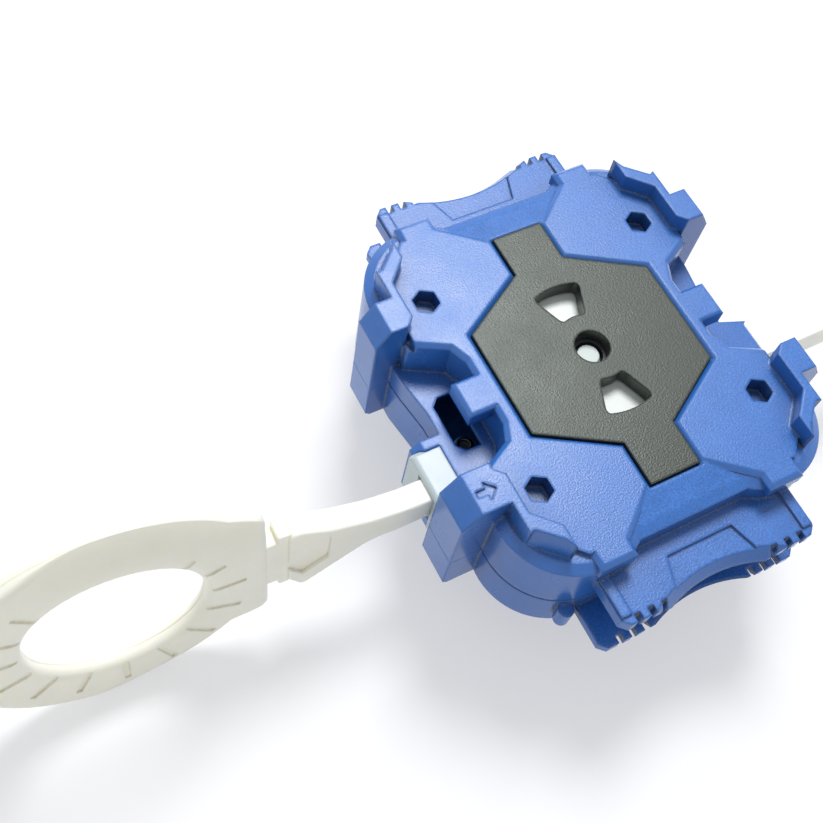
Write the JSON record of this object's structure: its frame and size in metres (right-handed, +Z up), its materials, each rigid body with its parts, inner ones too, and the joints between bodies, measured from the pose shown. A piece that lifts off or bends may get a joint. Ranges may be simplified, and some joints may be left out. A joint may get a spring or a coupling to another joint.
{
  "type": "spinning top launcher",
  "caption": "Palm-sized pull launcher for spinning tops: two-shell case, toothed winder strip with a finger ring, gear drive and launch prongs.",
  "frame": {"origin": "on the spindle axis at the level of the case's top deck, in the centre hole of the plate", "axes": "+X along the winder strip from its finger ring to its plain end, +Z up out of the deck, prongs at -Z"},
  "size_m": [0.2266, 0.0876, 0.051],
  "materials": {
    "blue_abs": "satin moulded ABS with a fine grain",
    "black_plate": "matte black moulded ABS",
    "cream_winder": "aged natural nylon, slightly translucent",
    "white_guide": "cool white acetal",
    "white_acetal": "white acetal",
    "dark_acetal": "dark grey acetal",
    "bronze": "sintered bronze",
    "steel": "zinc plated steel",
    "spring_steel": "drawn spring wire"
  },
  "bodies": {
    "case": {"upper_case": "blue_abs", "lower_case": "blue_abs", "badge_plate": "black_plate", "winder_guide": "white_guide", "thrust_washer": "steel", "upper_bush": "dark_acetal", "lower_bush": "bronze", "case_screws": "steel", "guide_screw": "steel"},
    "winder": {"winder": "cream_winder"},
    "gear": {"drive_gear": "white_acetal"},
    "output": {"spindle": "steel", "clutch_collar": "dark_acetal", "collar_screws": "steel", "prong_holder": "blue_abs"},
    "dog": {"clutch_dog": "dark_acetal", "clutch_spring": "spring_steel"},
    "pin": {"push_pin": "white_acetal", "pin_cap": "white_acetal", "pin_spring": "spring_steel"}
  },
  "joints": [
    {"name": "winder_pull", "type": "slide", "parent": "case", "child": "winder", "axis": [-1, 0, 0], "range_m": [0, 0.108]},
    {"name": "gear_spin", "type": "hinge", "parent": "case", "child": "gear", "pos_m": [0, 0, -0.0126], "axis": [0, 0, 1], "range_deg": [-1000, 100]},
    {"name": "output_spin", "type": "hinge", "parent": "case", "child": "output", "pos_m": [0, 0, -0.0126], "axis": [0, 0, 1], "range_deg": [-1000, 100]},
    {"name": "ratchet_click", "type": "slide", "parent": "output", "child": "dog", "axis": [0, 0, -1], "range_m": [0, 0.0011], "stiffness_N_per_m": 400, "deforming": ["clutch_spring"]},
    {"name": "pin_lift", "type": "slide", "parent": "output", "child": "pin", "axis": [0, 0, 1], "range_m": [0, 0.003], "stiffness_N_per_m": 150, "deforming": ["pin_spring"]}
  ],
  "couplings": [
    {"joint": "gear_spin", "follows": "winder_pull", "rad_per_m": -142.86},
    {"joint": "output_spin", "follows": "winder_pull", "rad_per_m": -142.86}
  ]
}
